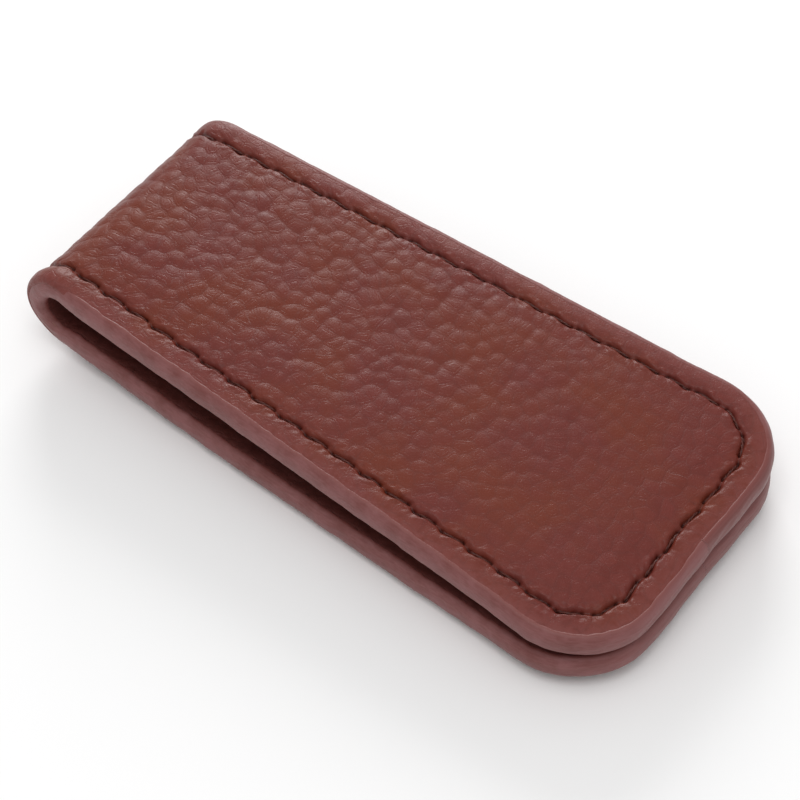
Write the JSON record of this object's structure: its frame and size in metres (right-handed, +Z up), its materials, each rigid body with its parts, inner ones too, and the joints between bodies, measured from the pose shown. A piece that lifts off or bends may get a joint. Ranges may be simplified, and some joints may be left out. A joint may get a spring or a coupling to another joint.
{
  "type": "magnetic money clip",
  "caption": "Padded leather strip folded in a U with magnets in its tips; folded banknotes are held between its two legs.",
  "frame": {"origin": "centre of the bounding box in X and Y, on the surface that the lower leg's belly lies on", "axes": "+X from the fold to the tips, +Y across the strip, +Z up from the lower leg to the upper leg"},
  "size_m": [0.0815, 0.039, 0.0119],
  "materials": {
    "outer_leather": "pebble-grain, semi-matte, mahogany brown",
    "lining_leather": "fine grain, matte, mahogany brown",
    "edge_paint": "smooth painted leather edge, semi-gloss, dusty rose brown",
    "stitching_thread": "waxed bonded thread, dark brown",
    "foam_padding": "fine-celled foam sheet",
    "stiffener_board": "bonded-leather board",
    "fold_filler": "soft bonded-leather strip",
    "magnet_plating": "nickel-plated disc magnet"
  },
  "bodies": {
    "lower_leg": {"lower_cover": "outer_leather", "lower_padding": "foam_padding", "lower_board": "stiffener_board", "lower_magnet_left": "magnet_plating", "lower_magnet_right": "magnet_plating", "lower_lining": "lining_leather", "lower_edge_paint": "edge_paint", "lower_needle_thread": "stitching_thread", "lower_bobbin_thread": "stitching_thread"},
    "fold_1": {"fold_1_cover": "outer_leather", "fold_1_filler": "fold_filler", "fold_1_lining": "lining_leather", "fold_1_edge_paint": "edge_paint", "fold_1_needle_thread": "stitching_thread", "fold_1_bobbin_thread": "stitching_thread"},
    "fold_2": {"fold_2_cover": "outer_leather", "fold_2_filler": "fold_filler", "fold_2_lining": "lining_leather", "fold_2_edge_paint": "edge_paint", "fold_2_needle_thread": "stitching_thread", "fold_2_bobbin_thread": "stitching_thread"},
    "upper_leg": {"upper_cover": "outer_leather", "upper_padding": "foam_padding", "upper_board": "stiffener_board", "upper_magnet_left": "magnet_plating", "upper_magnet_right": "magnet_plating", "upper_lining": "lining_leather", "upper_edge_paint": "edge_paint", "upper_needle_thread": "stitching_thread", "upper_bobbin_thread": "stitching_thread"}
  },
  "joints": [
    {"name": "fold_bend_1", "type": "hinge", "parent": "lower_leg", "child": "fold_1", "pos_m": [-0.03594, 0, 0.00139], "axis": [0, -1, 0], "range_deg": [0, 58.3], "stiffness_Nm_per_rad": 0.02},
    {"name": "fold_bend_2", "type": "hinge", "parent": "fold_1", "child": "fold_2", "pos_m": [-0.04074, 0, 0.00696], "axis": [0, -1, 0], "range_deg": [0, 58.3]},
    {"name": "fold_bend_3", "type": "hinge", "parent": "fold_2", "child": "upper_leg", "pos_m": [-0.03528, 0, 0.01187], "axis": [0, -1, 0], "range_deg": [0, 58.3]}
  ],
  "couplings": [
    {"joint": "fold_bend_2", "follows": "fold_bend_1", "ratio": 1},
    {"joint": "fold_bend_3", "follows": "fold_bend_1", "ratio": 1}
  ]
}
